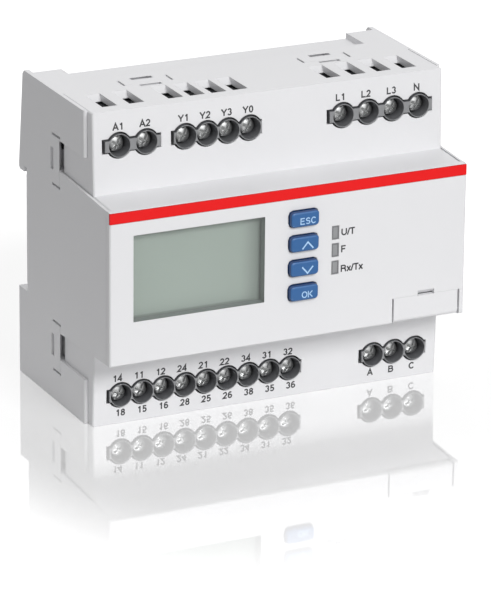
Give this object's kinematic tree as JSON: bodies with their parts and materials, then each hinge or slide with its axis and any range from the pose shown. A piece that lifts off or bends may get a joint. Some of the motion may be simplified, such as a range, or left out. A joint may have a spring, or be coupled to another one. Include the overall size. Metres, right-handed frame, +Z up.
{
  "type": "voltage monitoring relay",
  "caption": "Voltage monitoring relay in a modular housing for a 35 mm rail, with a display window, push keys, indicator windows, screw terminals, a hinged flap and sprung rail latches.",
  "frame": {"origin": "middle of the flat face on the back that rests against the rail", "axes": "+X along the rail to the right seen from the front, +Y out of the back towards the rail, +Z up to the upper terminal row"},
  "size_m": [0.108, 0.0645, 0.09],
  "materials": {
    "light_grey_plastic": "fine matt texture from the mould",
    "red_plastic": "smooth satin",
    "clear_plastic": "polished and clear",
    "dark_grey_plastic": "matt as moulded",
    "display_glass": "smooth glass over a grey-green reflector",
    "smoke_light_guide": "smooth, smoke grey",
    "blue_keys": "satin as moulded",
    "black_plastic": "matt as moulded",
    "zinc_plated_steel": "bright zinc plate",
    "circuit_board": "satin solder mask",
    "relay_case": "smooth as moulded",
    "laminated_core": "varnished sheet stack with a taped coil"
  },
  "bodies": {
    "housing": {"rear_housing": "light_grey_plastic", "front_cover": "light_grey_plastic", "front_stripe": "red_plastic", "display_window": "clear_plastic", "display_bezel": "dark_grey_plastic", "display_glass": "display_glass", "light_guide": "smoke_light_guide", "key_switch_esc": "black_plastic", "key_switch_up": "black_plastic", "key_switch_down": "black_plastic", "key_switch_ok": "black_plastic", "terminal_block_supply": "dark_grey_plastic", "terminal_block_control": "dark_grey_plastic", "terminal_block_measuring": "dark_grey_plastic", "terminal_block_output": "dark_grey_plastic", "terminal_block_bus": "dark_grey_plastic", "display_board": "circuit_board", "main_board": "circuit_board", "output_relay_1": "relay_case", "output_relay_2": "relay_case", "output_relay_3": "relay_case", "supply_transformer": "laminated_core", "supply_capacitor": "black_plastic", "board_link": "black_plastic", "service_header": "black_plastic", "latch_spring_left": "zinc_plated_steel", "latch_spring_right": "zinc_plated_steel"},
    "key_esc": {"key_esc": "blue_keys"},
    "key_up": {"key_up": "blue_keys"},
    "key_down": {"key_down": "blue_keys"},
    "key_ok": {"key_ok": "blue_keys"},
    "service_flap": {"service_flap": "light_grey_plastic"},
    "rail_latch_left": {"rail_latch_left": "dark_grey_plastic"},
    "rail_latch_right": {"rail_latch_right": "dark_grey_plastic"},
    "screw_supply_A1": {"screw_supply_A1": "zinc_plated_steel"},
    "screw_supply_A2": {"screw_supply_A2": "zinc_plated_steel"},
    "screw_control_Y1": {"screw_control_Y1": "zinc_plated_steel"},
    "screw_control_Y2": {"screw_control_Y2": "zinc_plated_steel"},
    "screw_control_Y3": {"screw_control_Y3": "zinc_plated_steel"},
    "screw_control_Y0": {"screw_control_Y0": "zinc_plated_steel"},
    "screw_measuring_L1": {"screw_measuring_L1": "zinc_plated_steel"},
    "screw_measuring_L2": {"screw_measuring_L2": "zinc_plated_steel"},
    "screw_measuring_L3": {"screw_measuring_L3": "zinc_plated_steel"},
    "screw_measuring_N": {"screw_measuring_N": "zinc_plated_steel"},
    "screw_output_14_18": {"screw_output_14_18": "zinc_plated_steel"},
    "screw_output_11_15": {"screw_output_11_15": "zinc_plated_steel"},
    "screw_output_12_16": {"screw_output_12_16": "zinc_plated_steel"},
    "screw_output_24_28": {"screw_output_24_28": "zinc_plated_steel"},
    "screw_output_21_25": {"screw_output_21_25": "zinc_plated_steel"},
    "screw_output_22_26": {"screw_output_22_26": "zinc_plated_steel"},
    "screw_output_34_38": {"screw_output_34_38": "zinc_plated_steel"},
    "screw_output_31_35": {"screw_output_31_35": "zinc_plated_steel"},
    "screw_output_32_36": {"screw_output_32_36": "zinc_plated_steel"},
    "screw_bus_A": {"screw_bus_A": "zinc_plated_steel"},
    "screw_bus_B": {"screw_bus_B": "zinc_plated_steel"},
    "screw_bus_C": {"screw_bus_C": "zinc_plated_steel"}
  },
  "joints": [
    {"name": "key_esc_press", "type": "slide", "parent": "housing", "child": "key_esc", "axis": [0, 1, 0], "range_m": [0, 0.0006], "stiffness_N_per_m": 800, "springref_m": -0.0005},
    {"name": "key_up_press", "type": "slide", "parent": "housing", "child": "key_up", "axis": [0, 1, 0], "range_m": [0, 0.0006], "stiffness_N_per_m": 800, "springref_m": -0.0005},
    {"name": "key_down_press", "type": "slide", "parent": "housing", "child": "key_down", "axis": [0, 1, 0], "range_m": [0, 0.0006], "stiffness_N_per_m": 800, "springref_m": -0.0005},
    {"name": "key_ok_press", "type": "slide", "parent": "housing", "child": "key_ok", "axis": [0, 1, 0], "range_m": [0, 0.0006], "stiffness_N_per_m": 800, "springref_m": -0.0005},
    {"name": "flap_hinge", "type": "hinge", "parent": "housing", "child": "service_flap", "pos_m": [0.0421, -0.05595, -0.02075], "axis": [1, 0, 0], "range_deg": [0, 110]},
    {"name": "rail_latch_left_slide", "type": "slide", "parent": "housing", "child": "rail_latch_left", "axis": [0, 0, -1], "range_m": [0, 0.003], "stiffness_N_per_m": 1500, "springref_m": -0.002, "deforming": ["latch_spring_left"]},
    {"name": "rail_latch_right_slide", "type": "slide", "parent": "housing", "child": "rail_latch_right", "axis": [0, 0, -1], "range_m": [0, 0.003], "stiffness_N_per_m": 1500, "springref_m": -0.002, "deforming": ["latch_spring_right"]},
    {"name": "screw_supply_A1_turn", "type": "hinge", "parent": "housing", "child": "screw_supply_A1", "pos_m": [-0.0452, -0.04212, 0.03595], "axis": [0, 1, 0], "continuous": true},
    {"name": "screw_supply_A2_turn", "type": "hinge", "parent": "housing", "child": "screw_supply_A2", "pos_m": [-0.0372, -0.04212, 0.03595], "axis": [0, 1, 0], "continuous": true},
    {"name": "screw_control_Y1_turn", "type": "hinge", "parent": "housing", "child": "screw_control_Y1", "pos_m": [-0.0256, -0.04212, 0.03595], "axis": [0, 1, 0], "continuous": true},
    {"name": "screw_control_Y2_turn", "type": "hinge", "parent": "housing", "child": "screw_control_Y2", "pos_m": [-0.01915, -0.04212, 0.03595], "axis": [0, 1, 0], "continuous": true},
    {"name": "screw_control_Y3_turn", "type": "hinge", "parent": "housing", "child": "screw_control_Y3", "pos_m": [-0.0127, -0.04212, 0.03595], "axis": [0, 1, 0], "continuous": true},
    {"name": "screw_control_Y0_turn", "type": "hinge", "parent": "housing", "child": "screw_control_Y0", "pos_m": [-0.00625, -0.04212, 0.03595], "axis": [0, 1, 0], "continuous": true},
    {"name": "screw_measuring_L1_turn", "type": "hinge", "parent": "housing", "child": "screw_measuring_L1", "pos_m": [0.0221, -0.04212, 0.03595], "axis": [0, 1, 0], "continuous": true},
    {"name": "screw_measuring_L2_turn", "type": "hinge", "parent": "housing", "child": "screw_measuring_L2", "pos_m": [0.0299, -0.04212, 0.03595], "axis": [0, 1, 0], "continuous": true},
    {"name": "screw_measuring_L3_turn", "type": "hinge", "parent": "housing", "child": "screw_measuring_L3", "pos_m": [0.0377, -0.04212, 0.03595], "axis": [0, 1, 0], "continuous": true},
    {"name": "screw_measuring_N_turn", "type": "hinge", "parent": "housing", "child": "screw_measuring_N", "pos_m": [0.0455, -0.04212, 0.03595], "axis": [0, 1, 0], "continuous": true},
    {"name": "screw_output_14_18_turn", "type": "hinge", "parent": "housing", "child": "screw_output_14_18", "pos_m": [-0.0447, -0.04209, -0.03595], "axis": [0, 1, 0], "continuous": true},
    {"name": "screw_output_11_15_turn", "type": "hinge", "parent": "housing", "child": "screw_output_11_15", "pos_m": [-0.03825, -0.04209, -0.03595], "axis": [0, 1, 0], "continuous": true},
    {"name": "screw_output_12_16_turn", "type": "hinge", "parent": "housing", "child": "screw_output_12_16", "pos_m": [-0.0318, -0.04209, -0.03595], "axis": [0, 1, 0], "continuous": true},
    {"name": "screw_output_24_28_turn", "type": "hinge", "parent": "housing", "child": "screw_output_24_28", "pos_m": [-0.02535, -0.04209, -0.03595], "axis": [0, 1, 0], "continuous": true},
    {"name": "screw_output_21_25_turn", "type": "hinge", "parent": "housing", "child": "screw_output_21_25", "pos_m": [-0.0189, -0.04209, -0.03595], "axis": [0, 1, 0], "continuous": true},
    {"name": "screw_output_22_26_turn", "type": "hinge", "parent": "housing", "child": "screw_output_22_26", "pos_m": [-0.01245, -0.04209, -0.03595], "axis": [0, 1, 0], "continuous": true},
    {"name": "screw_output_34_38_turn", "type": "hinge", "parent": "housing", "child": "screw_output_34_38", "pos_m": [-0.006, -0.04209, -0.03595], "axis": [0, 1, 0], "continuous": true},
    {"name": "screw_output_31_35_turn", "type": "hinge", "parent": "housing", "child": "screw_output_31_35", "pos_m": [0.00045, -0.04209, -0.03595], "axis": [0, 1, 0], "continuous": true},
    {"name": "screw_output_32_36_turn", "type": "hinge", "parent": "housing", "child": "screw_output_32_36", "pos_m": [0.0069, -0.04209, -0.03595], "axis": [0, 1, 0], "continuous": true},
    {"name": "screw_bus_A_turn", "type": "hinge", "parent": "housing", "child": "screw_bus_A", "pos_m": [0.0328, -0.04209, -0.03595], "axis": [0, 1, 0], "continuous": true},
    {"name": "screw_bus_B_turn", "type": "hinge", "parent": "housing", "child": "screw_bus_B", "pos_m": [0.0394, -0.04209, -0.03595], "axis": [0, 1, 0], "continuous": true},
    {"name": "screw_bus_C_turn", "type": "hinge", "parent": "housing", "child": "screw_bus_C", "pos_m": [0.046, -0.04209, -0.03595], "axis": [0, 1, 0], "continuous": true}
  ]
}
